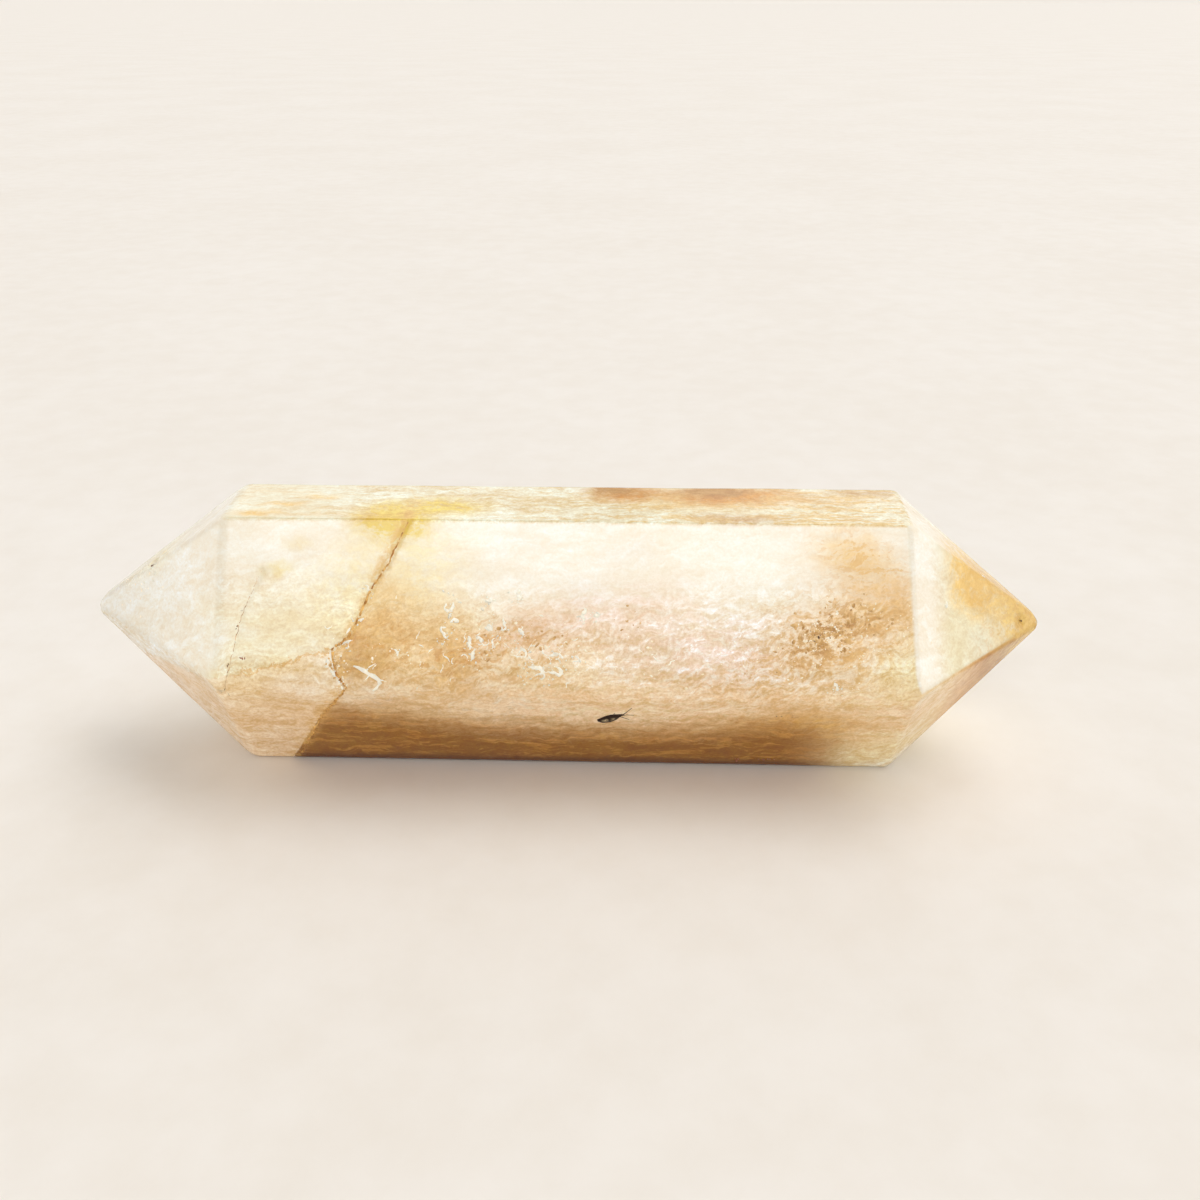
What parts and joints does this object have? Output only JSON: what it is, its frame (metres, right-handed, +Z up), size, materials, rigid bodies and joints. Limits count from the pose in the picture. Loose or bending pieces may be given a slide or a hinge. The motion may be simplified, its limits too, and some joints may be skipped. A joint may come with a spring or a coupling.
{
  "type": "double-terminated citrine crystal point",
  "caption": "Polished six-sided quartz point with a tip at each end, lying on one long face, milky citrine with honey and brown stains.",
  "frame": {"origin": "middle of the bounding box's footprint, on the surface the stone rests on", "axes": "+X along the stone's axis towards the honey-stained end, +Y towards the back, +Z up out of the resting face"},
  "size_m": [0.088, 0.0224, 0.0244],
  "materials": {
    "citrine": "polished, translucent milky quartz with honey, ochre and brown stains inside"
  },
  "bodies": {
    "root": {"citrine_point": "citrine"}
  },
  "joints": []
}
